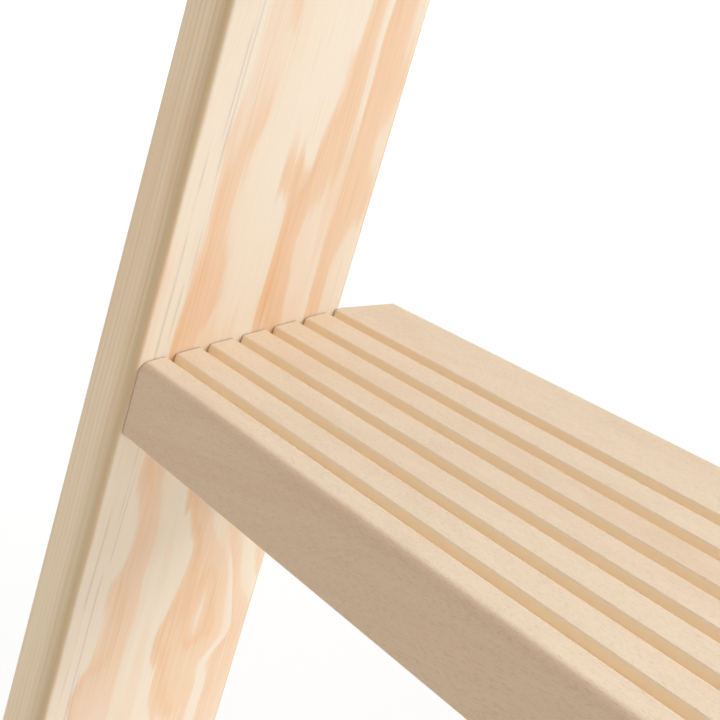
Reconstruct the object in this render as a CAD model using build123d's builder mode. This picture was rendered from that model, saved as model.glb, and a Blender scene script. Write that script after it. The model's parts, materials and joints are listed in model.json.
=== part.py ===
from build123d import *
from math import cos, hypot, radians, sin, tan
import os

# A wooden stepladder with a flight of grooved treads on each side, hinged at the top.
# X runs along the treads, the front flight stands on the -Y side and the floor is Z = 0.
# Every left-hand piece is modelled in place and mirrored to the right, and every piece of
# the front flight is mirrored to the rear. Sizes are in millimetres and degrees.

# The two flights
tread_count = 5  # treads in each flight
tread_rise = 235.0  # from one tread's top to the next, and from the floor to the first
lean = 70.0  # slope of a flight to the floor
flare = 1.2  # how far each stile leans in from the floor up
inside_width = 300.0  # between the stiles' inner faces, level with the hinge axis
hinge_above_tread = 150.0  # hinge axis above the top tread
fold_clearance = 2.5  # from the treads to the middle plane when folded

# Stiles
stile_width = 62.0
stile_thickness = 22.0
stile_arris = 2.0  # rounding along the stile's edges
stile_above_hinge = 32.0
stile_shoulder = 24.0  # rounding of the top corners

# Treads and the tongues that hold them
tread_depth = 80.0
tread_thickness = 20.0
tread_setback = 1.5  # tread's front behind the stile's front edge, along the floor
nose_radius = 4.0
tread_arris = 1.5
groove_count = 6
groove_width = 3.2  # at the tread's top
groove_floor = 1.2
groove_depth = 2.2
groove_pitch = 10.35
groove_chamfer = 0.25
first_groove = 9.0  # middle of the first groove behind the tread's front corner
tongue_length = 8.0  # on a tread's ends, let into the stiles
tongue_drop = 3.5  # from the tread's top to the tongue's
tongue_setback = 6.0  # tongue's front behind the tread's
housing_gap = 0.2  # left open before, over and beyond a tongue
shoulder_gap = 0.2  # between a tread's shoulder and the stile
relief_inset = 7.0  # cut off the tread's length at its back edge

# Hinges
leaf_thickness = 4.0
leaf_width = 34.0
leaf_length = 146.0  # from the hinge axis to the foot of the leaf
leaf_neck = 40.0  # from the hinge axis to where the leaf's strap begins
leaf_corner = 8.0  # cut off the corners of the leaf's foot
eye_radius = 15.0
eye_gap = 0.4  # between the two leaves' eyes
eye_margin = 2.5  # kept flat below the place where the folded leaves cross
joggle_run = 12.0  # length over which the rear leaf steps out
pin_radius = 5.0
pin_hex = 17.0  # head and nut, across the flats
pin_head_height = 6.0
pin_nut_height = 8.0

# Spreaders
spreader_above_tread = 70.0  # above the middle tread
arm_width = 20.0
arm_thickness = 3.0
arm_gap = 0.3  # between the two arms at the knuckle
boss_radius = 9.0
boss_height = 2.0  # stands the front arm off its stile
knuckle_head_radius = 7.0
knuckle_head_height = 2.0
pivot_radius = 4.0
pivot_hex = 13.0  # head and nut, across the flats
pivot_head_height = 5.5
pivot_nut_height = 6.5

# Fits
running_fit = 0.05  # round a pin that turns, on the radius
hole_fit = 0.1  # round a fastener that is fixed, on the radius
side_play = 0.25  # beside a piece that turns
thread_end = 2.5  # thread standing out of a nut

# Shoes
shoe_wall = 3.0
shoe_height = 52.0  # along the stile
sole_thickness = 9.0
sole_groove_count = 5
sole_groove_width = 3.0
sole_groove_depth = 2.5
sole_groove_pitch = 11.0

# Slopes and places worked out from the sizes
slope = radians(lean)
splay = radians(flare)
run = cos(slope)
rise = sin(slope)
overhang = (tread_setback + tread_depth) * rise - stile_width
hinge_offset = fold_clearance + overhang + tread_thickness * run
hinge_height = tread_count * tread_rise + hinge_above_tread
stile_middle = hinge_offset + stile_width / 2
stile_front = hinge_offset + stile_width
joggle = leaf_thickness + eye_gap
joggle_start = eye_radius * hypot(stile_middle, leaf_neck) / stile_middle + eye_margin
reach = inside_width + hinge_height * tan(splay) + stile_width

# Directions of the front left stile: up along it, out of its side, and ahead of its front edge
up = Vector(sin(splay), cos(splay) * run, cos(splay) * rise)
out = Vector(-cos(splay), sin(splay) * run, sin(splay) * rise)
ahead = Vector(0, -rise, run)

# Planes through the hinge axis: on the stile's inner and outer faces, across it and edgewise
hinge_point = Vector(-inside_width / 2, 0, hinge_height)
inner_face = Plane(origin=hinge_point, x_dir=ahead, z_dir=out)
outer_face = inner_face.offset(stile_thickness)
across = Plane(origin=hinge_point, x_dir=out, z_dir=up)
edgewise = Plane(origin=hinge_point, x_dir=up, z_dir=ahead)
floor = Plane.XY
outward = Vector(-1, 0, 0)


def along(distance, height):
    """Place along the stile of a point this far ahead of the hinge axis and this high."""
    return (height - hinge_height - distance * run) / rise / cos(splay)


def tread_top(number):
    return number * tread_rise


def tread_front(number):
    """Where a tread's top and front faces would meet."""
    edge = -stile_front / rise + (tread_top(number) - hinge_height) / tan(slope)
    return edge + tread_setback


def crosswise(distance, height):
    """Plane square to the treads, where a bolt along them leaves the stile's outer face."""
    point = outer_face.from_local_coords(Vector(distance, along(distance, height), 0))
    return Plane(origin=point, x_dir=(0, 1, 0), z_dir=outward)


def mirrored(part, about):
    """A copy of a piece on the other side of the ladder."""
    with BuildPart() as copy:
        mirror(part, about=about)
    return copy.part


def write(name, part):
    part.label = name
    export_step(part, f"parts/{name}.step")


def write_sides(name, left):
    """Writes a left-hand piece and its copy on the right. The name holds a place for the side."""
    write(name.format("left"), left)
    write(name.format("right"), mirrored(left, Plane.YZ))


def write_flights(name, front):
    """Writes a piece of the front flight and its copy in the rear flight."""
    write(name.format("front"), front)
    write(name.format("rear"), mirrored(front, Plane.XZ))


# Treads and stiles

def tread_section(number):
    """Side section of a tread, with its nose and grooves."""
    top = tread_top(number)
    front = tread_front(number)
    back = front + tread_depth
    under = top - tread_thickness
    with BuildSketch(Plane.YZ) as section:
        with BuildLine():
            Polyline(
                (front, top),
                (back, top),
                (back, under),
                (front - tread_thickness / tan(slope), under),
                close=True,
            )
        make_face()
        fillet(section.vertices().group_by(Axis.Y)[-1].sort_by(Axis.X)[0], nose_radius)
        chamfer(section.vertices().group_by(Axis.Y)[0].sort_by(Axis.X)[0], tread_arris)
        chamfer(section.vertices().group_by(Axis.X)[-1], tread_arris)
        first = front + first_groove
        with Locations(*[(first + groove_pitch * i, top) for i in range(groove_count)]):
            Polygon(
                (-groove_width / 2, 0),
                (-groove_floor / 2, -groove_depth),
                (groove_floor / 2, -groove_depth),
                (groove_width / 2, 0),
                align=None,
                mode=Mode.SUBTRACT,
            )
        lips = section.vertices().group_by(Axis.Y)[-1].sort_by(Axis.X)[1:-1]
        chamfer(lips, groove_chamfer)
    return section.sketch


def make_tongue(number, gap=0.0):
    """The tongue on a tread's left end, or the housing that takes it with a gap all round."""
    top = tread_top(number) - tongue_drop
    under = tread_top(number) - tread_thickness
    front = tread_front(number) + tongue_setback - gap
    back = tread_front(number) + tread_depth
    with BuildPart() as tongue:
        with BuildSketch(Plane.YZ):
            with BuildLine():
                Polyline(
                    (front - (tongue_drop - gap) / tan(slope), top + gap),
                    (back, top + gap),
                    (back, under),
                    (front - tread_thickness / tan(slope), under),
                    close=True,
                )
            make_face()
        extrude(amount=-reach)
        split(bisect_by=inner_face.offset(tongue_length + gap), keep=Keep.BOTTOM)
    return tongue.part


def rear_relief(number):
    """The cut that keeps a tread's rear corner clear behind the stile's back edge."""
    level = along(hinge_offset, tread_top(number) - tread_thickness / 2)
    with BuildPart() as relief:
        with BuildSketch(across.offset(level)):
            with BuildLine():
                Polyline(
                    (0, hinge_offset),
                    (-2 * relief_inset, hinge_offset - 2 * overhang),
                    (stile_thickness, hinge_offset - 2 * overhang),
                    (stile_thickness, hinge_offset),
                    close=True,
                )
            make_face()
        extrude(amount=2 * tread_thickness, both=True)
    return relief.part


def make_tread(number):
    with BuildPart() as tread:
        extrude(tread_section(number), amount=-reach)
        split(bisect_by=inner_face.offset(-shoulder_gap), keep=Keep.BOTTOM)
        add(make_tongue(number))
        add(rear_relief(number), mode=Mode.SUBTRACT)
        mirror(about=Plane.YZ)
    return tread.part


def make_bar(grow, top, floor_height):
    """A stile's plain length from a height above the floor, with its section grown on each side."""
    with BuildPart() as bar:
        with BuildSketch(across.offset(top)):
            with Locations((stile_thickness / 2, stile_middle)):
                RectangleRounded(
                    stile_thickness + 2 * grow, stile_width + 2 * grow, stile_arris + grow
                )
        extrude(amount=along(stile_front + grow, 0) - top - stile_thickness)
        split(bisect_by=floor.offset(floor_height), keep=Keep.TOP)
    return bar.part


def stand_off(radius):
    """How far a round seat, square to the treads, stands off the splayed stile at its middle."""
    return radius * tan(splay)


middle_tread = (tread_count + 1) // 2
pivot_plane = crosswise(stile_middle, tread_top(middle_tread) + spreader_above_tread)
stile_depth = stile_thickness / cos(splay)  # through the stile, along the treads

with BuildPart() as stile:
    add(make_bar(0, stile_above_hinge + stile_shoulder / 2, sole_thickness))
    with BuildSketch(inner_face):
        with Locations((stile_middle, stile_above_hinge)):
            Rectangle(2 * stile_width, 2 * stile_shoulder)
        with Locations((stile_middle, stile_above_hinge - stile_shoulder)):
            SlotOverall(stile_width, 2 * stile_shoulder, mode=Mode.SUBTRACT)
    extrude(amount=2 * stile_thickness, both=True, mode=Mode.SUBTRACT)
    for number in range(1, tread_count + 1):
        add(make_tongue(number, housing_gap), mode=Mode.SUBTRACT)
    with Locations(pivot_plane.offset(stile_depth)):
        Hole(pivot_radius + hole_fit, depth=3 * stile_depth)


# Hinges

def make_leaf(step):
    """A hinge leaf flat on the stile, with its eye square to the hinge axis and stepped out."""
    square = tan(splay)
    face = [
        (-leaf_length, 0),
        (-joggle_start - joggle_run, 0),
        (-joggle_start, step + joggle_run * square),
        (eye_radius, step + (joggle_run + joggle_start + eye_radius) * square),
    ]
    near = [(x, stile_thickness + y) for x, y in face]
    far = [(x, y + leaf_thickness) for x, y in reversed(near)]
    with BuildPart() as leaf:
        with BuildSketch(edgewise):
            with BuildLine():
                Polyline(*near, *far, close=True)
            make_face()
        extrude(amount=stile_front, both=True)
        with BuildSketch(inner_face) as strap:
            Circle(eye_radius)
            with Locations((stile_middle, -leaf_neck)):
                Circle(leaf_width / 2)
            make_hull()
            with Locations((stile_middle, -(leaf_neck + leaf_length) / 2)):
                Rectangle(leaf_width, leaf_length - leaf_neck)
            chamfer(strap.vertices().group_by(Axis.Y)[0], leaf_corner)
        extrude(amount=reach, mode=Mode.INTERSECT)
        with Locations(Plane(hinge_point, z_dir=outward)):
            Hole(pin_radius + running_fit, depth=reach)
    return leaf.part


eye_side = outer_face.from_local_coords(Vector(0, -joggle_start - joggle_run, 0)).X
eye_plane = Plane(origin=(eye_side, 0, hinge_height), x_dir=(0, 1, 0), z_dir=outward)
pin_nut_plane = eye_plane.offset(joggle + leaf_thickness + side_play)


def make_bolt(head_plane, nut_plane, radius, hexagon, head_height, nut_height):
    """A bolt with its head seated on one plane, through a nut seated on another."""
    grip = (nut_plane.origin - head_plane.origin).length
    with BuildPart() as bolt:
        with BuildSketch(head_plane):
            Circle(radius)
        extrude(amount=grip + nut_height + thread_end)
        with BuildSketch(head_plane):
            RegularPolygon(hexagon / 2, 6, major_radius=False)
        extrude(amount=-head_height)
    return bolt.part


def make_nut(plane, radius, hexagon, height):
    with BuildPart() as nut:
        with BuildSketch(plane):
            RegularPolygon(hexagon / 2, 6, major_radius=False)
            Circle(radius + hole_fit, mode=Mode.SUBTRACT)
        extrude(amount=height)
    return nut.part


with BuildPart() as hinge_pins:
    add(make_bolt(eye_plane, pin_nut_plane, pin_radius, pin_hex, pin_head_height, pin_nut_height))
    mirror(about=Plane.YZ)

with BuildPart() as hinge_nuts:
    add(make_nut(pin_nut_plane, pin_radius, pin_hex, pin_nut_height))
    mirror(about=Plane.YZ)


# Spreaders

arm_length = -pivot_plane.origin.Y
front_boss = boss_height
rear_boss = boss_height + arm_thickness + arm_gap
arm_seat = pivot_plane.offset(stand_off(boss_radius) + side_play)
pivot_head_radius = pivot_hex / 2 / cos(radians(30))
head_seat = pivot_plane.offset(-stile_depth - stand_off(pivot_head_radius))


def make_arm(boss, head_side):
    """A spreader arm, level at rest, with the boss at its pivot and half of the knuckle's rivet."""
    with BuildPart() as arm:
        with BuildSketch(arm_seat.offset(boss)):
            with Locations((arm_length / 2, 0)):
                SlotCenterToCenter(arm_length, arm_width)
        extrude(amount=arm_thickness)
        with BuildSketch(arm_seat):
            Circle(boss_radius)
        extrude(amount=boss)
        with BuildSketch(arm_seat.offset(boss + arm_thickness / 2)):
            with Locations((arm_length, 0)):
                Circle(knuckle_head_radius)
        extrude(amount=head_side * (arm_thickness / 2 + knuckle_head_height))
        with Locations(arm_seat):
            Hole(pivot_radius + running_fit)
    return arm.part


def make_pivots(boss):
    """Both pivot bolts of a flight, with their heads on the stiles' inner faces, and their nuts."""
    nut_plane = arm_seat.offset(boss + arm_thickness + side_play)
    with BuildPart() as bolts:
        add(
            make_bolt(
                head_seat, nut_plane, pivot_radius, pivot_hex, pivot_head_height, pivot_nut_height
            )
        )
        mirror(about=Plane.YZ)
    with BuildPart() as nuts:
        add(make_nut(nut_plane, pivot_radius, pivot_hex, pivot_nut_height))
        mirror(about=Plane.YZ)
    return bolts.part, nuts.part


# Shoes

sole_middle = -stile_middle / rise - hinge_height / tan(slope)

with BuildPart() as shoe:
    add(make_bar(shoe_wall, along(stile_middle, 0) + shoe_height, 0))
    add(make_bar(0, 0, sole_thickness), mode=Mode.SUBTRACT)
    with BuildSketch(floor):
        with Locations((hinge_point.X, sole_middle)):
            with GridLocations(0, sole_groove_pitch, 1, sole_groove_count):
                Rectangle(reach, sole_groove_width)
    extrude(amount=sole_groove_depth, mode=Mode.SUBTRACT)


# Writing the pieces

os.makedirs("parts", exist_ok=True)

for number in range(1, tread_count + 1):
    write_flights(f"{{}}_tread_{number}", make_tread(number))
write_sides("front_{}_stile", stile.part)
write_sides("rear_{}_stile", mirrored(stile.part, Plane.XZ))
write_sides("front_{}_shoe", shoe.part)
write_sides("rear_{}_shoe", mirrored(shoe.part, Plane.XZ))

write_sides("front_{}_hinge_leaf", make_leaf(0))
write_sides("rear_{}_hinge_leaf", mirrored(make_leaf(joggle), Plane.XZ))
write("hinge_pins", hinge_pins.part)
write("hinge_nuts", hinge_nuts.part)

front_pivots, front_pivot_nuts = make_pivots(front_boss)
rear_pivots, rear_pivot_nuts = make_pivots(rear_boss)
write("front_pivot_bolts", front_pivots)
write("front_pivot_nuts", front_pivot_nuts)
write("rear_pivot_bolts", mirrored(rear_pivots, Plane.XZ))
write("rear_pivot_nuts", mirrored(rear_pivot_nuts, Plane.XZ))
write_sides("{}_front_arm", make_arm(front_boss, -1))
write_sides("{}_rear_arm", mirrored(make_arm(rear_boss, 1), Plane.XZ))
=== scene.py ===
import json
from math import cos, pi, radians, sin, tan

import bmesh
import bpy
from mathutils import Matrix, Vector


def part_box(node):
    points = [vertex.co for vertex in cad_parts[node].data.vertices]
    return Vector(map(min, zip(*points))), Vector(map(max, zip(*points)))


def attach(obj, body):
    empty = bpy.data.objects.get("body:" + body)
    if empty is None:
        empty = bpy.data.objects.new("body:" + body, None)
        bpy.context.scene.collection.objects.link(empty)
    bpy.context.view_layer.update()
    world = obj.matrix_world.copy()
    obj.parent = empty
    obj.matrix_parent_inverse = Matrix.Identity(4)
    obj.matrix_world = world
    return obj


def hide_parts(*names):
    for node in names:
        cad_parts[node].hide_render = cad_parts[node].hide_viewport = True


bl_info = {
    "name": "Wooden Stepladder",
    "version": (1, 0, 0),
    "blender": (4, 5, 0),
    "location": "3D View > Sidebar > Ladder",
    "description": "Dresses a folding wooden stepladder: timber, fittings, shoes and a studio",
    "category": "Object",
}

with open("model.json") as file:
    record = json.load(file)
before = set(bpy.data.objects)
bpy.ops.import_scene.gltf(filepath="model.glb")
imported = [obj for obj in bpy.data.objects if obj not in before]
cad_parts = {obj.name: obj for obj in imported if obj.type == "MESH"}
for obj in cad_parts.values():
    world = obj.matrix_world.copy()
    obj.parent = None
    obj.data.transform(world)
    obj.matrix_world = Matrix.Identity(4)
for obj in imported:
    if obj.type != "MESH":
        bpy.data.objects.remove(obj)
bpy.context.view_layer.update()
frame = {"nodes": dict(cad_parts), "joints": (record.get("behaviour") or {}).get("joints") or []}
nodes = frame["nodes"]
joints = {joint["name"]: joint for joint in frame["joints"]}
hinge_axis = Vector(joints["fold"]["pos_m"])
front_pivot = Vector(joints["left_front_arm_turn"]["pos_m"])

# Patterns in the finishes are measured in millimetres, and everything else in metres
MM = 0.001

# Signs that turn the front left stile's directions into those of the others
FLIGHTS = {"front": 1, "rear": -1}
SIDES = {"left": 1, "right": -1}
STILES = [(flight, side) for flight in FLIGHTS for side in SIDES]


# Settings that a user would change

class LadderSizes(bpy.types.PropertyGroup):
    """Sizes of the ladder that the fittings are set out from"""
    lean: bpy.props.FloatProperty(
        name="Lean", description="Slope of a flight to the floor",
        default=radians(70), subtype="ANGLE",
    )
    flare: bpy.props.FloatProperty(
        name="Flare", description="How far each stile leans in from the floor up",
        default=radians(1.2), subtype="ANGLE",
    )
    inside_width: bpy.props.FloatProperty(
        name="Inside Width", description="Between the stiles, level with the hinge axis",
        default=0.300, unit="LENGTH",
    )
    stile_thickness: bpy.props.FloatProperty(
        name="Stile Thickness", description="Thickness of a stile",
        default=0.022, unit="LENGTH",
    )
    stile_width: bpy.props.FloatProperty(
        name="Stile Width", description="From a stile's front edge to its back edge",
        default=0.062, unit="LENGTH",
    )
    stile_middle: bpy.props.FloatProperty(
        name="Stile Middle", description="From the hinge axis to a stile's middle line",
        default=0.05492, unit="LENGTH",
    )
    leaf_thickness: bpy.props.FloatProperty(
        name="Leaf Thickness", description="Thickness of a hinge leaf",
        default=0.004, unit="LENGTH",
    )
    tread_rise: bpy.props.FloatProperty(
        name="Rise", description="From one tread to the next",
        default=0.235, unit="LENGTH",
    )
    tread_count: bpy.props.IntProperty(
        name="Treads", description="Treads in each flight", default=5,
    )


class LadderFinish(bpy.types.PropertyGroup):
    """Colours of the timber and the fittings"""
    early_wood: bpy.props.FloatVectorProperty(
        name="Early Wood", description="Pale wood of the stiles' growth rings",
        default=(0.850, 0.738, 0.598), subtype="COLOR",
    )
    late_wood: bpy.props.FloatVectorProperty(
        name="Late Wood", description="Dark wood of the stiles' growth rings",
        default=(0.795, 0.455, 0.228), subtype="COLOR",
    )
    hardwood: bpy.props.FloatVectorProperty(
        name="Hardwood", description="Colour of the treads",
        default=(0.833, 0.691, 0.530), subtype="COLOR",
    )
    zinc: bpy.props.FloatVectorProperty(
        name="Zinc", description="Colour of the plated steel fittings",
        default=(0.440, 0.450, 0.460), subtype="COLOR",
    )
    rubber: bpy.props.FloatVectorProperty(
        name="Rubber", description="Colour of the shoes",
        default=(0.030, 0.030, 0.032), subtype="COLOR",
    )


class LadderStage(bpy.types.PropertyGroup):
    """Camera and light"""
    camera_place: bpy.props.FloatVectorProperty(
        name="Camera", description="Place of the camera",
        default=(0.11428, -0.53584, 0.61305), subtype="TRANSLATION",
    )
    camera_turn: bpy.props.FloatVectorProperty(
        name="Camera Turn", description="Rotation of the camera",
        default=(radians(65.2474), radians(0.2237), radians(53.9083)), subtype="EULER",
    )
    lens: bpy.props.FloatProperty(
        name="Lens", description="Focal length for a 36 mm square image, in millimetres",
        default=64.71,
    )
    key_power: bpy.props.FloatProperty(
        name="Key Light", description="Power of the large light behind the climber's right",
        default=252.0, unit="POWER",
    )
    side_power: bpy.props.FloatProperty(
        name="Side Light", description="Power of the light on the climber's right",
        default=33.0, unit="POWER",
    )
    fill_strength: bpy.props.FloatProperty(
        name="Sky", description="Strength of the even light from all round", default=0.63,
    )


# Shader maths

# A Mix node's colour sockets, which come after those for numbers and vectors
MIX_FIRST, MIX_SECOND, MIX_RESULT = 6, 7, 2


class Value:
    """A socket that Python's operators can work on"""

    def __init__(self, owner, socket):
        self.owner = owner
        self.socket = socket

    def __add__(self, other):
        return self.owner.math("ADD", self, other)

    __radd__ = __add__

    def __sub__(self, other):
        return self.owner.math("SUBTRACT", self, other)

    def __rsub__(self, other):
        return self.owner.math("SUBTRACT", other, self)

    def __mul__(self, other):
        return self.owner.math("MULTIPLY", self, other)

    __rmul__ = __mul__

    def __truediv__(self, other):
        return self.owner.math("DIVIDE", self, other)

    def __pow__(self, other):
        return self.owner.math("POWER", self, other)

    def __mod__(self, other):
        return self.owner.math("FLOORED_MODULO", self, other)

    def __abs__(self):
        return self.owner.math("ABSOLUTE", self)


class Shading:
    """The nodes that give a surface or the sky its look"""

    def __init__(self, tree):
        self.tree = tree

    def node(self, kind, settings=None, inputs=None, output=0):
        """Adds a node with its settings and inputs, and gives one of its outputs."""
        made = self.tree.nodes.new(kind)
        for key, setting in (settings or {}).items():
            if key == "stops":
                self.set_stops(made.color_ramp, setting)
            else:
                setattr(made, key, setting)
        for key, value in (inputs or {}).items():
            self.feed(made.inputs[key], value)
        return Value(self, made.outputs[output])

    def set_stops(self, ramp, stops):
        while len(ramp.elements) < len(stops):
            ramp.elements.new(1.0)
        for element, (place, colour) in zip(ramp.elements, stops):
            element.position = place
            element.color = (*colour, 1.0)

    def feed(self, socket, value):
        """Links a value to a socket, or sets a number or a colour on it."""
        if isinstance(value, Value):
            self.tree.links.new(value.socket, socket)
        else:
            socket.default_value = value

    def math(self, operation, *values):
        return self.node("ShaderNodeMath", {"operation": operation}, dict(enumerate(values)))

    def point(self):
        """A place on a piece, in metres."""
        return self.node("ShaderNodeTexCoord", output="Object")

    def place(self, origin=(0, 0, 0), turn=(0, 0, 0)):
        """Millimetres from an origin, in a piece's own directions."""
        return self.node(
            "ShaderNodeMapping",
            {"vector_type": "TEXTURE"},
            {"Vector": self.point(), "Location": origin, "Rotation": turn, "Scale": (MM, MM, MM)},
        )

    def part(self, vector, axis):
        return self.node("ShaderNodeSeparateXYZ", inputs={0: vector}, output=axis)

    def stretch(self, vector, scale, shift):
        return self.node(
            "ShaderNodeVectorMath",
            {"operation": "MULTIPLY_ADD"},
            {0: vector, 1: scale, 2: shift},
        )

    def noise(self, vector, scale, shift=(0, 0, 0), detail=2.0, roughness=0.5):
        """Noise about zero, from -0.5 to 0.5, with its own scale along each direction."""
        found = self.node(
            "ShaderNodeTexNoise",
            {"noise_dimensions": "3D"},
            {
                "Vector": self.stretch(vector, scale, shift),
                "Scale": 1.0,
                "Detail": detail,
                "Roughness": roughness,
            },
        )
        return found - 0.5

    def ease(self, value, low, high):
        """0 below low, 1 above high, and smooth between."""
        return self.node(
            "ShaderNodeMapRange",
            {"interpolation_type": "SMOOTHSTEP"},
            {"Value": value, "From Min": low, "From Max": high},
        )

    def fade(self, value, low, high):
        """1 below low, 0 above high, and smooth between."""
        return 1.0 - self.ease(value, low, high)

    def ramp(self, value, stops, interpolation="LINEAR"):
        found = self.node("ShaderNodeValToRGB", {"stops": stops}, {0: value})
        found.socket.node.color_ramp.interpolation = interpolation
        return found

    def mix(self, share, first, second, blend="MIX"):
        """Mixes two colours, each given as a link or as three numbers."""
        colours = [
            colour if isinstance(colour, Value) else (*colour, 1.0)
            for colour in (first, second)
        ]
        return self.node(
            "ShaderNodeMix",
            {"data_type": "RGBA", "blend_type": blend},
            {0: share, MIX_FIRST: colours[0], MIX_SECOND: colours[1]},
            output=MIX_RESULT,
        )

    def tint(self, colour, amount):
        """Makes a colour lighter or darker by an amount about 1."""
        grey = self.node("ShaderNodeCombineColor", inputs={0: amount, 1: amount, 2: amount})
        return self.mix(1.0, colour, grey, "MULTIPLY")

    def bump(self, height, distance, strength):
        return self.node(
            "ShaderNodeBump",
            inputs={"Height": height, "Distance": distance, "Strength": strength},
        )


class Finish(Shading):
    """A material on the ladder or the floor"""

    def __init__(self, name):
        self.material = bpy.data.materials.new(name)
        self.material.use_nodes = True
        super().__init__(self.material.node_tree)
        self.shader = self.tree.nodes["Principled BSDF"]

    def set(self, **sockets):
        """Feeds the shader's sockets, named with underscores for spaces."""
        for key, value in sockets.items():
            self.feed(self.shader.inputs[key.replace("_", " ")], value)
        return self.material


def shade(colour, amount):
    return tuple(channel * amount for channel in colour)


def blend(first, second, share):
    return tuple(a + (b - a) * share for a, b in zip(first, second))


# Setting out

def sizes():
    return bpy.context.scene.ladder_sizes


def finishes():
    return bpy.context.scene.ladder_finish


def stile_axes(flight, side):
    """Out of a stile's side, ahead of its front edge and up along it."""
    s = sizes()
    run, rise = cos(s.lean), sin(s.lean)
    bent, straight = sin(s.flare), cos(s.flare)
    out = Vector((-straight, bent * run, bent * rise))
    ahead = Vector((0, -rise, run))
    up = Vector((bent, straight * run, straight * rise))
    turn = Vector((SIDES[side], FLIGHTS[flight], 1))
    return [axis * turn for axis in (out, ahead, up)]


def stile_point(flight, side, out, ahead, up):
    """A point set out from the hinge axis, level with a stile's inner face."""
    axes = stile_axes(flight, side)
    start = Vector((-SIDES[side] * sizes().inside_width / 2, 0, hinge_axis.z))
    return start + axes[0] * out + axes[1] * ahead + axes[2] * up


def along_stile(ahead, height):
    """How far up a stile a height above the floor lies, from the hinge axis."""
    s = sizes()
    return (height - hinge_axis.z - ahead * cos(s.lean)) / sin(s.lean) / cos(s.flare)


# Modelling

LEVEL = 0.95  # least upright part of the normal of a face that lies level
UPRIGHT = 0.6  # greatest upright part of the normal of a face that stands
EASED_ANGLE = radians(40)
SMOOTH_ANGLE = radians(38)
CRISP_ANGLE = radians(25)
FLAT_ANGLE = radians(0.4)
MERGED_GAP = 0.000002
DOME_RIM = 0.0003
THREAD_PITCH = 0.00125
THREAD_ROOT = 0.86  # share of a bolt's radius at the root of its thread
SHANK_SHARE = 0.99  # share of a bolt's radius on its plain shank
NUT_TURN = pi / 11


def pick_none():
    bpy.ops.object.select_all(action="DESELECT")


def pick_only(*objects):
    """Selects these objects alone and makes the first one active."""
    pick_none()
    for obj in objects:
        obj.select_set(True)
    bpy.context.view_layer.objects.active = objects[0]


def added(name):
    """The primitive that was just added, with its place and size in its mesh."""
    obj = bpy.context.object
    obj.name = name
    bpy.ops.object.transform_apply()
    return obj


def edit(obj, test=None):
    """Goes into edit mode with everything selected, or the faces that a test picks."""
    pick_only(obj)
    bpy.ops.object.mode_set(mode="EDIT")
    bpy.ops.mesh.select_mode(type="FACE")
    bpy.ops.mesh.select_all(action="SELECT" if test is None else "DESELECT")
    if test is not None:
        mesh = bmesh.from_edit_mesh(obj.data)
        for face in mesh.faces:
            face.select_set(bool(test(face)))
        bmesh.update_edit_mesh(obj.data)


def done():
    bpy.ops.object.mode_set(mode="OBJECT")


def apply_modifier(obj, kind, **settings):
    pick_only(obj)
    modifier = obj.modifiers.new(kind, kind)
    for key, setting in settings.items():
        setattr(modifier, key, setting)
    bpy.ops.object.modifier_apply(modifier=modifier.name)


def carve(obj, tool, operation="DIFFERENCE", **settings):
    """Cuts a piece with a tool, or keeps what lies inside it, and puts the tool away."""
    apply_modifier(
        obj, "BOOLEAN", operation=operation, solver="EXACT", object=tool, **settings
    )
    discard(tool)


def discard(*objects):
    for obj in objects:
        bpy.data.objects.remove(obj)


def soften(obj, width):
    apply_modifier(
        obj, "BEVEL", width=width, segments=2, limit_method="ANGLE", angle_limit=EASED_ANGLE
    )


def smooth(obj, angle=SMOOTH_ANGLE):
    pick_only(obj)
    bpy.ops.object.shade_smooth_by_angle(angle=angle)


def make_dome(name, radius, height):
    """A rivet's head: a ball cut level, pressed flat and given a short rim."""
    pick_none()
    bpy.ops.mesh.primitive_uv_sphere_add(segments=32, ring_count=24, radius=radius)
    dome = added(name)
    edit(dome)
    bpy.ops.mesh.bisect(
        plane_co=(0, 0, 0), plane_no=(0, 0, 1), clear_inner=True, use_fill=True
    )
    bpy.ops.mesh.select_all(action="SELECT")
    bpy.ops.transform.resize(value=(1, 1, (height - DOME_RIM) / radius))
    bpy.ops.transform.translate(value=(0, 0, DOME_RIM))
    done()
    edit(dome, lambda face: face.normal.z < -LEVEL)
    bpy.ops.mesh.extrude_region_move(TRANSFORM_OT_translate={"value": (0, 0, -DOME_RIM)})
    done()
    smooth(dome)
    return dome


def make_seat(name, foot, top, height):
    """A washer under a head, with a sloped side and eased edges."""
    eased = height * 0.2
    pick_none()
    bpy.ops.mesh.primitive_cone_add(
        vertices=40, radius1=foot, radius2=top, depth=height, location=(0, 0, height / 2)
    )
    seat = added(name)
    soften(seat, eased)
    smooth(seat)
    return seat


def make_screw(name, radius, height):
    """A low domed head with a cross recess."""
    head = make_dome(name, radius, height)
    slot_length = radius * 1.15
    slot_width = radius * 0.24
    slot_floor = height * 0.35
    pick_none()
    bpy.ops.mesh.primitive_cube_add(
        size=1, scale=(slot_length, slot_width, height),
        location=(0, 0, slot_floor + height / 2),
    )
    slot = added("slot")
    edit(slot)
    bpy.ops.mesh.duplicate()
    bpy.ops.transform.rotate(value=pi / 2, orient_axis="Z", center_override=(0, 0, 0))
    done()
    carve(head, slot, use_self=True)
    smooth(head)
    return head


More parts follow.
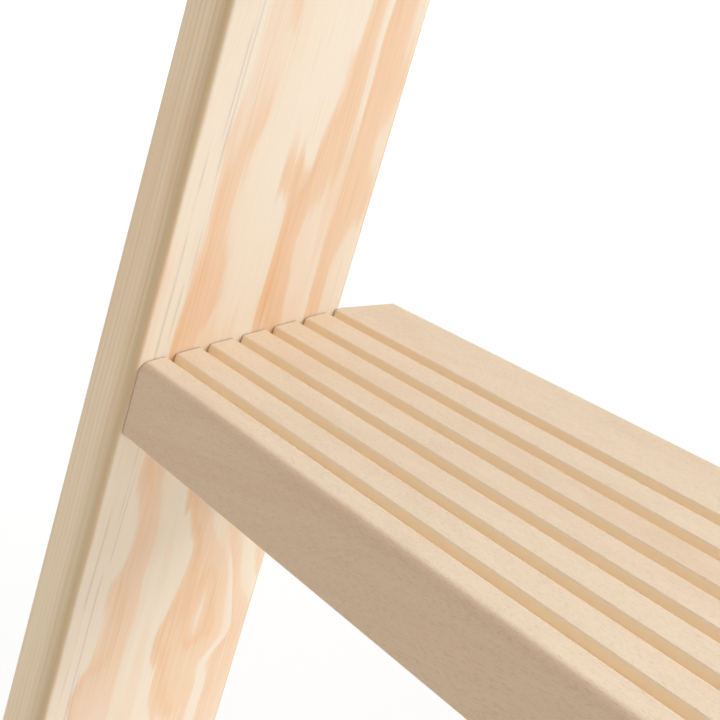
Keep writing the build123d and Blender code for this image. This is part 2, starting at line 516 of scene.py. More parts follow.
def make_hexagon(name, flats, height):
    """A bolt's head or a nut, with its corners turned off to a cone and its top dished."""
    corner = flats / 2 / cos(pi / 6)
    turned_rim = flats * 0.475
    turned_foot = turned_rim + height * 1.9
    land = flats * 0.06
    dish = height * 0.03
    pick_none()
    bpy.ops.mesh.primitive_cylinder_add(
        vertices=6, radius=corner, depth=height, location=(0, 0, height / 2)
    )
    head = added(name)
    pick_none()
    bpy.ops.mesh.primitive_cone_add(
        vertices=72, radius1=turned_foot, radius2=turned_rim, depth=height,
        location=(0, 0, height / 2),
    )
    carve(head, added("turned"), "INTERSECT")
    edit(head, lambda face: face.normal.z > LEVEL)
    bpy.ops.mesh.inset(thickness=land)
    bpy.ops.transform.translate(value=(0, 0, -dish))
    done()
    smooth(head, CRISP_ANGLE)
    return head


def make_thread(name, radius, length):
    """The end of a bolt that stands out of its nut, ridged ring by ring."""
    pick_none()
    bpy.ops.mesh.primitive_circle_add(vertices=32, radius=radius * THREAD_ROOT)
    thread = added(name)
    pick_only(thread)
    bpy.ops.object.mode_set(mode="EDIT")
    bpy.ops.mesh.select_mode(type="EDGE")
    bpy.ops.mesh.select_all(action="SELECT")
    half_pitch = THREAD_PITCH / 2
    for step in range(int(length / half_pitch)):
        bpy.ops.mesh.extrude_region_move(TRANSFORM_OT_translate={"value": (0, 0, half_pitch)})
        change = 1 / THREAD_ROOT if step % 2 == 0 else THREAD_ROOT
        bpy.ops.transform.resize(value=(change, change, 1))
    bpy.ops.mesh.edge_face_add()
    bpy.ops.mesh.select_all(action="SELECT")
    bpy.ops.mesh.normals_make_consistent(inside=False)
    done()
    smooth(thread, CRISP_ANGLE)
    return thread


def make_shank(name, radius, length):
    """A plain round bar, for a bolt or to bore with."""
    pick_none()
    bpy.ops.mesh.primitive_cylinder_add(
        vertices=32, radius=radius, depth=length, location=(0, 0, length / 2)
    )
    shank = added(name)
    smooth(shank)
    return shank


def set_on(pattern, place, way, turn=0.0):
    """A copy of a piece with its foot at a place and its top facing a way."""
    copy = pattern.copy()
    copy.data = pattern.data.copy()
    bpy.context.scene.collection.objects.link(copy)
    spin = Matrix.Rotation(turn, 4, "Z")
    aim = Vector(way).to_track_quat("Z", "Y").to_matrix().to_4x4()
    copy.data.transform(Matrix.Translation(place) @ aim @ spin)
    return copy


def join(name, copies):
    pick_only(*copies)
    if len(copies) > 1:
        bpy.ops.object.join()
    piece = copies[0]
    piece.name = name
    return piece


def paint(obj, material):
    obj.data.materials.clear()
    obj.data.materials.append(material)


def settle(piece, material, body, node=None):
    """Finishes a piece and says what it moves with and stands for."""
    paint(piece, material)
    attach(piece, body)
    if node:
        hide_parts(node)


def span(name):
    """How far from the middle plane the pieces of a mirrored pair begin and end."""
    sides = [abs(v.co.x) for v in nodes[name].data.vertices]
    return min(sides), max(sides)


def make_bolts(bolts, nuts, middle, body, material, flats, radius, head_height):
    """A pair of bolts, one on each side, and their nuts."""
    near, far = span(bolts)
    seat, top = span(nuts)
    neck = near + head_height
    head = make_hexagon("head", flats, head_height)
    nut = make_hexagon("nut", flats, top - seat)
    thread = make_thread("thread", radius, far - top)
    shank = make_shank("shank", radius * SHANK_SHARE, top - neck)
    base = Vector((0, middle.y, middle.z))
    bolts_made, nuts_made = [], []
    for hand in SIDES.values():
        out = Vector((-hand, 0, 0))
        bolts_made.append(set_on(head, base + out * neck, -out))
        bolts_made.append(set_on(shank, base + out * neck, out))
        bolts_made.append(set_on(thread, base + out * top, out))
        nuts_made.append(set_on(nut, base + out * seat, out, NUT_TURN))
    settle(join(f"{bolts}_made", bolts_made), material, body, bolts)
    settle(join(f"{nuts}_made", nuts_made), material, body, nuts)
    discard(head, nut, thread, shank)


def refine(name, edge):
    """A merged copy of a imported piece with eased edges."""
    piece = merge(name)
    soften(piece, edge)
    smooth(piece)
    return piece


def merge(name):
    """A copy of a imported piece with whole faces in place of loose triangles."""
    node = nodes[name]
    piece = node.copy()
    piece.data = node.data.copy()
    piece.parent = None
    bpy.context.scene.collection.objects.link(piece)
    piece.name = f"{name}_made"
    edit(piece)
    bpy.ops.mesh.customdata_custom_splitnormals_clear()
    bpy.ops.mesh.remove_doubles(threshold=MERGED_GAP)
    bpy.ops.mesh.dissolve_limited(angle_limit=FLAT_ANGLE)
    bpy.ops.mesh.normals_make_consistent(inside=False)
    done()
    return piece


# Timber

class Timber(Finish):
    """Wood whose figure follows a board's own directions, which each kind sets out"""

    def figure(self, scale, detail, roughness=0.5, second=False):
        """Noise along the board's directions, from its seed or from a second one."""
        shift = self.seed[::-1] if second else self.seed
        return self.noise(self.board, scale, shift, detail, roughness)


WHITEST_PINE = (0.85, 0.755, 0.625)
CREAM_PINE = (0.86, 0.74, 0.58)
STRAW = (0.825, 0.665, 0.490)
RESIN = (0.55, 0.42, 0.30)
GREY_LINE = (0.52, 0.48, 0.43)
DARK_ARRIS = (0.50, 0.36, 0.20)
INNER_EDGE_TONE = (0.90, 0.83, 0.67)
OUTER_EDGE_TONE = (1.06, 1.02, 0.92)
PINE_RELIEF = 0.00010

# Share of late wood through a year, in a pale year and in a rich one
PALE_YEAR = ((0.34, 0.00), (0.48, 0.10), (0.58, 0.48), (0.80, 0.58), (0.90, 0.40))
RICH_YEAR = ((0.34, 0.00), (0.46, 0.14), (0.56, 0.58), (0.74, 0.70), (0.83, 1.00), (0.91, 0.80))
YEAR_END = 0.98

# Rings that are counted reach past a stile's edges, over a span of years from the first
YEARS_MARGIN = 12.0
FIRST_YEAR = -1.0
YEARS_SPAN = 6.0

# How far below a tread's top the grain starts to sway, and where it sways in full
SWAY_START = 5.0
SWAY_FULL = 45.0

# Grey lines on a stile's inner face: millimetres ahead of its middle line, and half widths
GREY_LINES = ((26.2, 0.5), (23.4, 0.42), (22.2, 0.35))

# A stile's rings lie about a pith, or are counted by millimetres from its back edge
STILE_GRAIN = {
    ("front", "left"): {
        "seed": 22.8, "spacing": 2.4, "wander": 4.2, "sway": 34.0, "sways_below_tread": 2,
        "years": [
            (-12, -0.35), (0, 0.25), (3, 0.45), (5, 0.57), (8, 0.70), (10.5, 0.82), (12, 0.90),
            (13, 1.02), (14, 1.40), (15.5, 1.55), (19, 1.72), (21, 1.86), (23, 1.97), (30, 2.12),
            (41, 2.36), (44.5, 2.50), (48, 2.62), (52.5, 2.80), (55, 2.98), (62, 3.30), (74, 3.90),
        ],
    },
    ("front", "right"): {"seed": 17.7, "pith": (-88.0, -11.0), "spacing": 2.7, "wander": 8.0},
    ("rear", "left"): {"seed": 29.3, "pith": (-69.0, 14.0), "spacing": 2.4, "wander": 7.0},
    ("rear", "right"): {"seed": 41.9, "pith": (145.0, 24.0), "spacing": 2.8, "wander": 6.0},
}


class Pine(Timber):
    """Softwood with growth rings that run along a stile and come out in patches"""

    def __init__(self, flight, side):
        super().__init__(f"pine_{flight}_{side}")
        s, colours = sizes(), finishes()
        self.grain = STILE_GRAIN[flight, side]
        self.counted = "years" in self.grain
        self.early = tuple(colours.early_wood)
        self.late = tuple(colours.late_wood)
        self.white = blend(self.early, WHITEST_PINE, 0.8)
        self.seed = tuple(self.grain["seed"] * share for share in (1.0, 0.37, 1.71))
        outward = float(SIDES[side] * FLIGHTS[flight])
        out, ahead, up = stile_axes(flight, side)
        turn = Matrix((out * outward, ahead, up)).transposed()
        middle = stile_point(flight, side, s.stile_thickness / 2, s.stile_middle, 0)
        self.board = self.place(middle, turn.to_euler())
        self.half_width = s.stile_width / 2 / MM
        self.through = self.part(self.board, 0) * outward
        self.depth = self.through + s.stile_thickness / 2 / MM
        self.ahead = self.part(self.board, 1)
        self.up = self.part(self.board, 2)
        self.ragged = self.figure((0.60, 0.75, 0.011), 2.0, 0.6)
        if self.counted:
            self.lower = self.below_tread(self.grain["sways_below_tread"])

    def below_tread(self, number):
        """1 on the stile below a tread, and 0 from the tread's top up."""
        s = sizes()
        tread_top = along_stile(s.stile_middle, number * s.tread_rise) / MM
        return self.fade(self.up, tread_top - SWAY_FULL, tread_top - SWAY_START)

    def counted_radius(self):
        """Rings that are counted across the stile, and sway below a tread."""
        reach = 2 * (self.half_width + YEARS_MARGIN)
        stops = [
            ((place + YEARS_MARGIN) / reach, ((count - FIRST_YEAR) / YEARS_SPAN,) * 3)
            for place, count in self.grain["years"]
        ]
        sway = self.figure((0.0, 0.024, 0.026), 1.0) * self.grain["sway"]
        share = (self.ahead + sway * self.lower + reach / 2) / reach
        count = self.ramp(share, stops) * YEARS_SPAN + FIRST_YEAR
        return count * self.grain["spacing"] + self.depth

    def pith_radius(self):
        """Rings about a pith, which lies beside the middle of the stile."""
        across, ahead = self.grain["pith"]
        return ((self.through - across) ** 2 + (self.ahead - ahead) ** 2) ** 0.5

    def rings(self):
        """Growth rings counted outward, with how far through its year each place lies."""
        radius = self.counted_radius() if self.counted else self.pith_radius()
        uneven = self.figure((0.28, 0.0, 0.003), 2.0, second=True) * self.depth * 0.16
        wander = self.figure((0.012, 0.034, 0.0125), 1.5, 0.45) * self.grain["wander"]
        ripple = self.figure((0.06, 0.11, 0.024), 2.0) * 1.5
        radius = radius + uneven + wander + ripple + self.ragged * 0.35
        return radius / self.grain["spacing"]

    def year_ramp(self, year, end, shares):
        """The colours of one year, which begins and ends alike."""
        stops = [(place, blend(self.early, self.late, share)) for place, share in shares]
        return self.ramp(year, [(0.0, end), *stops, (YEAR_END, end)], "EASE")

    def ring_colour(self, rings, year):
        """Pale wood that darkens through each year, in some years more than in others."""
        each_year = self.node(
            "ShaderNodeCombineXYZ",
            inputs={
                0: self.math("FLOOR", rings) * 3.7,
                1: self.up * 0.004,
                2: self.grain["seed"],
            },
        )
        strong = self.ease(self.noise(each_year, (1, 1, 1), detail=1.0), -0.16, 0.16)
        pale = self.year_ramp(year, self.white, PALE_YEAR)
        rich = self.year_ramp(year, blend(self.early, self.white, 0.6), RICH_YEAR)
        return self.mix(strong, pale, rich)

    def patches(self, wood):
        """Tongues of dark and of white wood over the rings, and calmer, paler wood below the
        tread, whose paleness is partly painted light that lifts the shadow under the tread.
        """
        tongues = self.figure((0.03, 0.065, 0.012), 2.0, second=True) + self.ragged * 0.10
        dark_tongues = self.ease(tongues, 0.08, 0.17)
        white_tongues = self.fade(tongues, -0.17, -0.08)
        wood = self.mix(dark_tongues * 0.50, wood, blend(self.early, self.late, 0.60))
        wood = self.mix(white_tongues * 0.60, wood, self.white)
        if self.counted:
            # Below the tread the wood is mixed towards cream: partly its calmer figure, partly
            # painted light that lifts the tread's shadow
            wood = self.mix(self.lower * 0.34, wood, blend(self.early, CREAM_PINE, 0.5))
        return wood

    def grey_lines(self):
        """Thin broken lines along the inner face, beside the front arris."""
        wobble = self.figure((0.0, 0.0, 0.011), 2.0) * 5.0
        broken = self.ease(self.figure((0.05, 0.3, 0.03), 2.0, second=True), -0.10, 0.06)
        lines = 0.0
        for place, width in GREY_LINES:
            lines = lines + self.fade(abs(self.ahead + wobble - place), width * 0.3, width)
        return lines * broken * self.fade(self.depth, 0.4, 1.6)

    def edges(self, wood):
        """Straw-coloured, streaked front and back edges, with a dark inner arris."""
        inset = self.half_width - abs(self.ahead)
        edge = self.fade(inset, 0.4, 1.8)
        outer = self.ease(self.depth + self.ragged * 3.0, 2.5, 10.0)
        tone = self.mix(outer, INNER_EDGE_TONE, OUTER_EDGE_TONE)
        even = self.mix(0.5, wood, STRAW)
        wood = self.mix(edge, wood, self.mix(1.0, even, tone, "MULTIPLY"))
        streaks = self.figure((1.1, 0.0, 0.006), 3.0, 0.7)
        wood = self.tint(wood, 1.0 + edge * streaks * 0.30)
        corner = inset * 2.0 + self.depth
        return self.mix(self.fade(corner, 1.8, 3.4) * 0.40, wood, DARK_ARRIS)

    def finish(self):
        """The softwood's material: its colour, its sheen and a faint relief."""
        rings = self.rings()
        year = rings % 1.0
        dark = self.ease(year, 0.45, 0.86) * self.fade(year, 0.93, 1.0)
        fibre = self.figure((1.9, 1.9, 0.020), 3.0, 0.62)
        pores = self.figure((6.0, 6.0, 0.09), 1.0)
        resin = self.ease(self.figure((1.3, 1.3, 0.030), 1.0, second=True), 0.20, 0.27)
        wood = self.patches(self.ring_colour(rings, year))
        wood = self.mix(resin * 0.14, wood, RESIN)
        wood = self.mix(self.grey_lines() * 0.42, wood, GREY_LINE)
        wood = self.tint(wood, 1.0 + fibre * (0.08 + dark * 0.22) + pores * 0.03)
        relief = dark * 0.5 + fibre * 0.9 + pores * 0.25
        return self.set(
            Base_Color=self.edges(wood),
            Roughness=0.50 - dark * 0.08 + fibre * 0.10,
            Specular_IOR_Level=0.38,
            Normal=self.bump(relief, PINE_RELIEF, 0.55),
        )


WARM_BEECH = (0.83, 0.67, 0.50)
BROWN_BEECH = (0.74, 0.54, 0.36)
FLECK = (0.60, 0.43, 0.29)
# Painted light: a bright tone in the grooves that lifts the shade falling in them
GROOVE_LIGHT = (0.905, 0.730, 0.515)
# Painted shade: the front face and nose are made darker and warmer than the top, as they face away
# from the light
FRONT_SHADE = (0.885, 0.795, 0.715)
# Painted shadow in the gap where a tread's ends meet the stiles
SEAM_SHADOW = (0.31, 0.18, 0.09)
BEECH_RELIEF = 0.00008

# Flecks slope along a tread, and each tread has a seed of its own
FLECK_SLOPE = radians(-9)
TREAD_SEED = 7.9
REAR_SEED = 53.0

# Grooves lie between these places behind a tread's front, and above this depth
GROOVED_FROM = 13.0
GROOVED_TO = 80.0
GROOVED_DEPTH = 2.6

# How far behind the front face its painted shade starts to end on the nose, and where it has ended
NOSE_START = 3.8
NOSE_END = 5.0


class Beech(Timber):
    """Hardwood with short flecks that run out along a tread at a slight slant"""

    def __init__(self, flight, number):
        super().__init__(f"beech_{flight}_{number}")
        self.flight = flight
        self.colour = tuple(finishes().hardwood)
        low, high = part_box(f"{flight}_tread_{number}")
        front_top = (0.0, low.y if flight == "front" else high.y, high.z)
        seed = number * TREAD_SEED + (REAR_SEED if flight == "rear" else 0.0)
        self.seed = (seed * 1.3, seed * 0.7, seed * 0.31)
        self.board = self.place(front_top, (0.0, FLECK_SLOPE, 0.0))
        level = self.place(front_top)
        self.depth = self.part(level, 2) * -1.0
        self.behind = self.part(level, 1) * float(FLIGHTS[flight])
        self.thickness = (high.z - low.z) / MM

    def bands(self):
        """Broad warm and brown bands, with paler clouds over them."""
        bands = self.figure((0.0045, 0.045, 0.085), 3.0, 0.55)
        clouds = self.figure((0.010, 0.020, 0.020), 1.0, second=True)
        wood = self.ramp(
            bands + 0.5,
            [
                (0.30, blend(self.colour, WARM_BEECH, 0.6)),
                (0.50, self.colour),
                (0.68, blend(self.colour, BROWN_BEECH, 0.4)),
            ],
        )
        return self.mix(self.ease(clouds, -0.12, 0.16) * 0.3, wood, shade(self.colour, 1.05))

    def grooves(self):
        """1 inside the grooves, where painted light lifts the shade that falls in them."""
        sunk = self.ease(self.depth, 0.02, 0.2)
        sunk = sunk * self.fade(self.depth, GROOVED_DEPTH, GROOVED_DEPTH + 0.4)
        grooved = self.ease(self.behind, GROOVED_FROM, GROOVED_FROM + 0.4)
        return sunk * grooved * self.fade(self.behind, GROOVED_TO, GROOVED_TO + 0.5)

    def front(self):
        """1 on the front face, which leans as the flight does, up to the rounded nose; this is
        where the tread's painted shade lies.
        """
        slant = 1.0 / tan(sizes().lean)
        from_face = self.behind + self.depth * slant - self.thickness * slant
        upper = self.ease(self.depth, 0.0, 0.3)
        lower = self.fade(self.depth, self.thickness - 0.8, self.thickness - 0.1)
        return upper * lower * self.fade(from_face, NOSE_START, NOSE_END)

    def seam_shadow(self):
        """1 along the tread's ends, where it meets the stiles, and 0 a little way in: where
        painted shadow darkens the gap between the parts.
        """
        s = sizes()
        place = self.place()
        out, ahead, _ = stile_axes(self.flight, "left")
        start = stile_point(self.flight, "left", 0, 0, 0) / MM
        level = self.part(place, 1) - start.y
        height = self.part(place, 2) - start.z
        across = (abs(self.part(place, 0)) + start.x) * out.x
        inward = across - level * out.y - height * out.z
        stile_back = (s.stile_middle - s.stile_width / 2) / MM
        from_axis = level * ahead.y + height * ahead.z
        beside = self.ease(from_axis, stile_back - 0.4, stile_back + 0.4)
        return self.fade(inward, 0.35, 0.75) * beside

    def finish(self):
        """The hardwood's material: its colour, its sheen and a faint relief."""
        flecks = self.ease(self.figure((0.48, 3.4, 3.4), 2.0, 0.6), 0.00, 0.20)
        fine = self.figure((1.3, 6.5, 6.5), 2.0, 0.6)
        streaks = self.figure((0.03, 0.45, 0.6), 3.0, 0.6, second=True)
        wood = self.mix(flecks * 0.34, self.bands(), FLECK)
        wood = self.tint(wood, 1.0 + fine * 0.20 + streaks * 0.12)
        # Painted light in the grooves, brighter than the shade there would be
        wood = self.mix(self.grooves(), wood, GROOVE_LIGHT)
        # Painted shade on the front face and nose
        wood = self.mix(self.front(), wood, self.mix(1.0, wood, FRONT_SHADE, "MULTIPLY"))
        # Painted shadow along the gap between the tread's ends and the stiles
        wood = self.mix(self.seam_shadow() * 0.6, wood, SEAM_SHADOW)
        return self.set(
            Base_Color=wood,
            Roughness=0.56 + fine * 0.12 - flecks * 0.05,
            Specular_IOR_Level=0.34,
            Normal=self.bump(fine * 0.7 - flecks * 0.35, BEECH_RELIEF, 0.5),
        )


# Metal and rubber

YELLOWED_ZINC = (0.56, 0.545, 0.49)
ZINC_SPECK = (0.30, 0.30, 0.30)
ZINC_RELIEF = 0.00004
RUBBER_RELIEF = 0.00012
DUST = (0.20, 0.19, 0.175)
DUST_FULL = 1.0  # millimetres above the floor, up to which the dust is thickest
DUST_END = 26.0


def zinc_steel(name, seed):
    """Plated steel with a satin grain, faint clouds in the plating and small marks."""
    f = Finish(name)
    metal = f.place()
    colour = tuple(finishes().zinc)
    shift = (seed, seed * 0.5, seed * 2.1)
    clouds = f.noise(metal, (0.09, 0.09, 0.09), shift, detail=3.0, roughness=0.6)
    grain = f.noise(metal, (2.6, 0.35, 0.35), shift)
    specks = f.ease(f.noise(metal, (0.8, 0.8, 0.8), shift), 0.17, 0.25)
    plate = f.ramp(
        clouds + 0.5,
        [
            (0.28, shade(colour, 0.82)),
            (0.50, colour),
            (0.72, blend(colour, YELLOWED_ZINC, 0.6)),
        ],
    )
    return f.set(
        Base_Color=f.mix(specks * 0.5, plate, ZINC_SPECK),
        Metallic=1.0,
        Roughness=0.36 + clouds * 0.22 + grain * 0.16 + specks * 0.2,
        Normal=f.bump(grain + clouds * 0.5, ZINC_RELIEF, 0.6),
    )


def shoe_rubber(name):
    """Moulded rubber with a fine grain and dust towards the sole."""
    f = Finish(name)
    shoe = f.place()
    colour = tuple(finishes().rubber)
    grain = f.noise(shoe, (2.4, 2.4, 2.4), detail=3.0, roughness=0.65)
    clouds = f.noise(shoe, (0.06, 0.06, 0.06))
    low_down = f.fade(f.part(shoe, 2), DUST_FULL, DUST_END)
    dust = low_down * f.ease(clouds + grain * 0.6, -0.2, 0.35)
    body = f.mix(f.ease(clouds, -0.2, 0.2), colour, shade(colour, 1.5))
    return f.set(
        Base_Color=f.mix(dust * 0.45, body, DUST),
        Roughness=0.68 + grain * 0.16 + dust * 0.18,
        Specular_IOR_Level=0.42,
        Normal=f.bump(grain, RUBBER_RELIEF, 0.7),
    )


# Steps that dress the ladder

class LADDER_OT_stiles(bpy.types.Operator):
    """Finishes the four stiles in planed softwood"""
    bl_idname = "ladder.stiles"
    bl_label = "Stiles"

    def execute(self, context):
        for flight, side in STILES:
            paint(nodes[f"{flight}_{side}_stile"], Pine(flight, side).finish())
        return {"FINISHED"}


class LADDER_OT_treads(bpy.types.Operator):
    """Finishes the treads in planed hardwood"""
    bl_idname = "ladder.treads"
    bl_label = "Treads"

    def execute(self, context):
        for number in range(1, sizes().tread_count + 1):
            for flight in FLIGHTS:
                paint(nodes[f"{flight}_tread_{number}"], Beech(flight, number).finish())
        return {"FINISHED"}


LEAF_EDGE = 0.0006
RIVET_HEAD = {"radius": 0.0056, "height": 0.0026}
RIVET_SEAT = {"foot": 0.0078, "top": 0.0052, "height": 0.0011}
RIVET_BURR = {"radius": 0.0042, "height": 0.0018}
RIVET_DROPS = (0.056, 0.092, 0.128)  # below the hinge axis, along the stile
HINGE_BOLT = {"flats": 0.017, "radius": 0.005, "head_height": 0.006}


class LADDER_OT_hinges(bpy.types.Operator):
    """Makes the hinge leaves, their rivets, and the pins and nuts of the hinge"""
    bl_idname = "ladder.hinges"
    bl_label = "Hinges"

    def execute(self, context):
        steel = zinc_steel("hinge_steel", seed=5.0)
        bright = zinc_steel("hinge_fastener_steel", seed=9.0)
        head = make_dome("rivet_head", **RIVET_HEAD)
        burr = make_dome("rivet_burr", **RIVET_BURR)
        seat = make_seat("rivet_seat", **RIVET_SEAT)
        s = sizes()
        leaf_face = s.stile_thickness + s.leaf_thickness
        for flight, side in STILES:
            body = f"{flight}_flight"
            name = f"{flight}_{side}_hinge_leaf"
            settle(refine(name, LEAF_EDGE), steel, body, name)
            out = stile_axes(flight, side)[0]
            rivets = []
            for drop in RIVET_DROPS:
                outside = stile_point(flight, side, leaf_face, s.stile_middle, -drop)
                inside = stile_point(flight, side, 0.0, s.stile_middle, -drop)
                rivets.append(set_on(head, outside, out))
                rivets.append(set_on(seat, inside, -out))
                rivets.append(set_on(burr, inside - out * RIVET_SEAT["height"], -out))
            piece = join(f"{flight}_{side}_leaf_rivets", rivets)
            settle(piece, bright, body)
        make_bolts("hinge_pins", "hinge_nuts", hinge_axis, "front_flight", bright, **HINGE_BOLT)
        discard(head, burr, seat)
        return {"FINISHED"}


ARM_EDGE = 0.00045
KNUCKLE_DOME = {"radius": 0.0064, "height": 0.0019}
KNUCKLE_REACH = 0.012  # from the middle of the knuckle, past its head
PIVOT_BOLT = {"flats": 0.013, "radius": 0.004, "head_height": 0.0055}


class LADDER_OT_spreaders(bpy.types.Operator):
    """Makes the folding arms, their knuckle rivets and their pivot bolts"""
    bl_idname = "ladder.spreaders"
    bl_label = "Spreaders"

    def execute(self, context):
        steel = zinc_steel("arm_steel", seed=13.0)
        bright = zinc_steel("arm_fastener_steel", seed=21.0)
        dome = make_dome("knuckle_dome", **KNUCKLE_DOME)
        for flight, flip in FLIGHTS.items():
            for side, hand in SIDES.items():
                name = f"{side}_{flight}_arm"
                settle(refine(name, ARM_EDGE), steel, name, name)
                inner, outer = self.knuckle_faces(name)
                reach, way = (outer, -hand) if flight == "rear" else (inner, hand)
                middle = Vector((-hand * reach, 0.0, front_pivot.z))
                piece = join(f"{name}_knuckle", [set_on(dome, middle, Vector((way, 0, 0)))])
                settle(piece, bright, name)
            pivot = Vector((0, front_pivot.y * flip, front_pivot.z))
            make_bolts(
                f"{flight}_pivot_bolts", f"{flight}_pivot_nuts", pivot,
                f"{flight}_flight", bright, **PIVOT_BOLT,
            )
        discard(dome)
        return {"FINISHED"}

    def knuckle_faces(self, name):
        """How far out an arm's end at the knuckle begins and ends."""
        near = [v.co for v in nodes[name].data.vertices if abs(v.co.y) < KNUCKLE_REACH]
        sides = [abs(place.x) for place in near]
        return min(sides), max(sides)


TREAD_SCREW = {"radius": 0.0042, "height": 0.0011}
SCREW_CUP = {"foot": 0.0066, "top": 0.0044, "height": 0.0008}
SCREW_DROP = 0.0118  # below the tread's top
SCREW_LIFT = 0.0005  # out of the stile, in the cup

# A tread end's two screws: places ahead of the stile's middle line, and turns of the recess
SCREW_PAIR = ((-0.017, -1.53), (0.017, 1.53))
NEXT_TURN = 0.7  # from one tread's screws to the next


class LADDER_OT_screws(bpy.types.Operator):
    """Makes the screws through the stiles into the tread ends, with their cup washers"""
    bl_idname = "ladder.screws"
    bl_label = "Tread Screws"

    def execute(self, context):
        bright = zinc_steel("screw_steel", seed=33.0)
        screw = make_screw("tread_screw", **TREAD_SCREW)
        cup = make_seat("screw_cup", **SCREW_CUP)
        s = sizes()
        for flight, side in STILES:
            out = stile_axes(flight, side)[0]
            screws = []
            for number in range(1, s.tread_count + 1):
                for offset, turn in SCREW_PAIR:
                    ahead = s.stile_middle + offset
                    up = along_stile(ahead, number * s.tread_rise - SCREW_DROP)
                    place = stile_point(flight, side, s.stile_thickness, ahead, up)
                    lifted = place + out * SCREW_LIFT
                    screws.append(set_on(screw, lifted, out, turn + number * NEXT_TURN))
                    screws.append(set_on(cup, place, out))
            piece = join(f"{flight}_{side}_tread_screws", screws)
            settle(piece, bright, f"{flight}_flight")
        discard(screw, cup)
        return {"FINISHED"}


SHOE_SCREW = {"radius": 0.0046, "height": 0.0012}
SHOE_SCREW_TURN = 0.4
SHOE_SCREW_HEIGHT = 0.034  # above the floor
SHOE_BORE = {"radius": 0.0058, "length": 0.004}
SHOE_BORE_FLOOR = 0.0008  # out of the stile
SOLE_LINE = 0.0065  # height of the sole below the panels
PANEL_MARGIN = 0.0035
PANEL_DEPTH = 0.0009
PANEL_SLOPE = 0.6  # width of a panel's sloped sides to its depth
PANEL_LEAST_AREA = 0.0006  # of a side that has a panel, in square metres


class LADDER_OT_shoes(bpy.types.Operator):
    """Makes the moulded shoes and the screws that hold them"""
    bl_idname = "ladder.shoes"
    bl_label = "Shoes"

    def execute(self, context):
        rubber = shoe_rubber("shoe_rubber")
        bright = zinc_steel("shoe_screw_steel", seed=45.0)
        screw = make_screw("shoe_screw", **SHOE_SCREW)
        bore = make_shank("shoe_bore", **SHOE_BORE)
        s = sizes()
        bore_floor = s.stile_thickness + SHOE_BORE_FLOOR
        for flight, side in STILES:
            body = f"{flight}_flight"
            name = f"{flight}_{side}_shoe"
            shoe = merge(name)
            self.sink_panels(shoe)
            out = stile_axes(flight, side)[0]
            up = along_stile(s.stile_middle, SHOE_SCREW_HEIGHT)
            place = stile_point(flight, side, bore_floor, s.stile_middle, up)
            smooth(shoe)
            carve(shoe, set_on(bore, place, out))
            smooth(shoe)
            settle(shoe, rubber, body, name)
            piece = join(f"{name}_screw", [set_on(screw, place, out, SHOE_SCREW_TURN)])
            settle(piece, bright, body)
        discard(screw, bore)
        return {"FINISHED"}

    def sink_panels(self, shoe):
        """Sinks a shallow panel into each broad side above the sole."""
        edit(shoe)
        bpy.ops.mesh.bisect(plane_co=(0, 0, SOLE_LINE), plane_no=(0, 0, 1))
        done()
        edit(shoe, self.has_panel)
        bpy.ops.mesh.inset(thickness=PANEL_MARGIN, use_individual=True)
        bpy.ops.mesh.inset(
            thickness=PANEL_DEPTH * PANEL_SLOPE, depth=-PANEL_DEPTH, use_individual=True
        )
        done()

    def has_panel(self, face):
        return face.calc_area() > PANEL_LEAST_AREA and abs(face.normal.z) < UPRIGHT


FLOOR_SIZE = 60.0
FLOOR_DROP = 0.0005
FLOOR_COLOUR = (0.90, 0.90, 0.90, 1.0)
FLOOR_GLOW = 1.10
SHADOW_GLOW = 0.6  # share of the glow near the ladder, where the floor keeps its shadow
SHADOW_NEAR = 0.9
SHADOW_FAR = 2.6
SKY_COLOUR = (1.0, 0.985, 0.955)
WHITE = (1.0, 1.0, 1.0)
LIGHT_COLOUR = (0.985, 1.0, 1.03)
LIGHT_SIZE = 2.2
LIGHT_DISTANCE = 5.5
LIGHT_TARGET = Vector((-0.1, -0.3, 0.5))
KEY_WAY = (0.48, 0.71, 0.51)
SIDE_WAY = (0.98, 0.06, 0.17)
SENSOR_WIDTH = 36.0
NEAREST_SEEN = 0.01


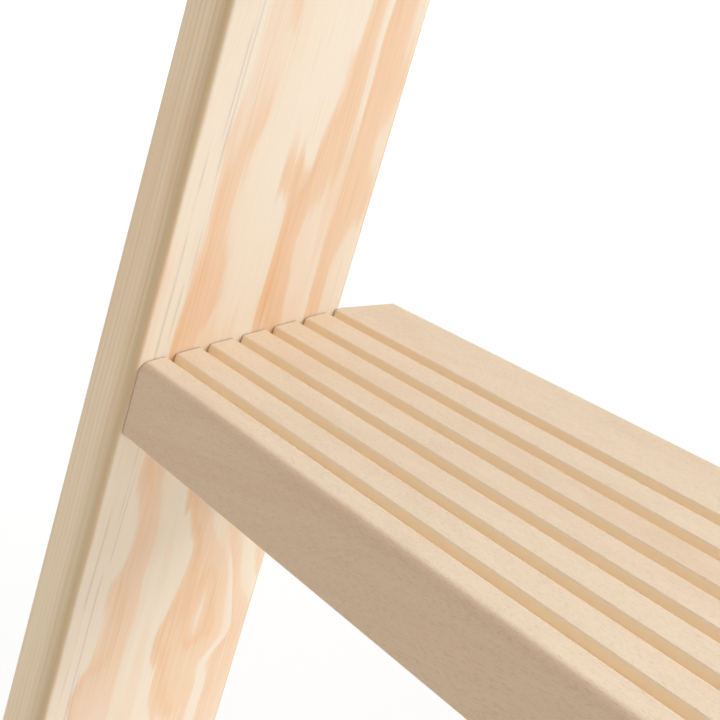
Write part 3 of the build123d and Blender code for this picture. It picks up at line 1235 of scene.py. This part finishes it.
class LADDER_OT_stage(bpy.types.Operator):
    """Sets up the floor, the light and the camera"""
    bl_idname = "ladder.stage"
    bl_label = "Stage"

    def execute(self, context):
        scene = context.scene
        stage = scene.ladder_stage
        self.lay_floor()
        self.light_sky(scene, stage.fill_strength)
        self.hang_light(scene, "key_light", KEY_WAY, stage.key_power)
        self.hang_light(scene, "side_light", SIDE_WAY, stage.side_power)
        self.set_camera(scene, stage)
        scene.view_settings.view_transform = "Standard"
        return {"FINISHED"}

    def lay_floor(self):
        pick_none()
        bpy.ops.mesh.primitive_plane_add(size=FLOOR_SIZE, location=(0, 0, -FLOOR_DROP))
        floor = added("floor")
        f = Finish("floor_white")
        f.set(Base_Color=FLOOR_COLOUR, Roughness=0.9, Specular_IOR_Level=0.1)
        glow = f.node("ShaderNodeEmission", inputs={"Strength": FLOOR_GLOW})
        away = f.node("ShaderNodeVectorMath", {"operation": "LENGTH"}, {0: f.point()}, output=1)
        share = SHADOW_GLOW + f.ease(away, SHADOW_NEAR, SHADOW_FAR) * (1.0 - SHADOW_GLOW)
        matt = Value(f, f.shader.outputs[0])
        surface = f.node(
            "ShaderNodeMixShader", inputs={0: self.seen_directly(f) * share, 1: matt, 2: glow}
        )
        f.feed(f.tree.nodes["Material Output"].inputs["Surface"], surface)
        paint(floor, f.material)

    def seen_directly(self, shading):
        """1 for what the camera sees, also in a mirror or through glass."""
        seen = 0.0
        for ray in ("Is Camera Ray", "Is Glossy Ray", "Is Transmission Ray"):
            seen = shading.math("MAXIMUM", seen, shading.node("ShaderNodeLightPath", output=ray))
        return seen

    def light_sky(self, scene, strength):
        """Warm even light on the ladder, and a white background."""
        scene.world = bpy.data.worlds.new("studio")
        scene.world.use_nodes = True
        sky = Shading(scene.world.node_tree)
        seen = self.seen_directly(sky)
        background = sky.tree.nodes["Background"]
        sky.feed(background.inputs["Color"], sky.mix(seen, SKY_COLOUR, WHITE))
        sky.feed(background.inputs["Strength"], seen * (1.0 - strength) + strength)

    def hang_light(self, scene, name, way, power):
        """A large square light that faces the tread in the camera's view."""
        light = bpy.data.lights.new(name, "AREA")
        light.shape = "SQUARE"
        light.size = LIGHT_SIZE
        light.energy = power
        light.color = LIGHT_COLOUR
        lamp = bpy.data.objects.new(name, light)
        scene.collection.objects.link(lamp)
        way = Vector(way).normalized()
        lamp.location = LIGHT_TARGET + way * LIGHT_DISTANCE
        lamp.rotation_euler = way.to_track_quat("Z", "Y").to_euler()

    def set_camera(self, scene, stage):
        camera = bpy.data.objects.new("camera", bpy.data.cameras.new("camera"))
        scene.collection.objects.link(camera)
        camera.location = stage.camera_place
        camera.rotation_euler = stage.camera_turn
        camera.data.sensor_width = SENSOR_WIDTH
        camera.data.sensor_fit = "HORIZONTAL"
        camera.data.lens = stage.lens
        camera.data.clip_start = NEAREST_SEEN
        scene.camera = camera


class LADDER_PT_sidebar(bpy.types.Panel):
    """Lists the ladder's settings and the steps that dress it"""
    bl_idname = "LADDER_PT_sidebar"
    bl_label = "Wooden Stepladder"
    bl_space_type = "VIEW_3D"
    bl_region_type = "UI"
    bl_category = "Ladder"

    def draw(self, context):
        column = self.layout.column()
        for name, group in GROUPS.items():
            for key in group.__annotations__:
                column.prop(getattr(context.scene, name), key)
        for step in STEPS:
            column.operator(step.bl_idname)


STEPS = (
    LADDER_OT_stiles,
    LADDER_OT_treads,
    LADDER_OT_hinges,
    LADDER_OT_spreaders,
    LADDER_OT_screws,
    LADDER_OT_shoes,
    LADDER_OT_stage,
)
GROUPS = {
    "ladder_sizes": LadderSizes,
    "ladder_finish": LadderFinish,
    "ladder_stage": LadderStage,
}


def register():
    for group in GROUPS.values():
        bpy.utils.register_class(group)
    for name, group in GROUPS.items():
        setattr(bpy.types.Scene, name, bpy.props.PointerProperty(type=group))
    for step in STEPS:
        bpy.utils.register_class(step)
    bpy.utils.register_class(LADDER_PT_sidebar)


def unregister():
    bpy.utils.unregister_class(LADDER_PT_sidebar)
    for step in reversed(STEPS):
        bpy.utils.unregister_class(step)
    for name in GROUPS:
        delattr(bpy.types.Scene, name)
    for group in reversed(GROUPS.values()):
        bpy.utils.unregister_class(group)


def main():
    register()
    for step in STEPS:
        group, name = step.bl_idname.split(".")
        getattr(getattr(bpy.ops, group), name)()


if __name__ == "__main__":
    main()
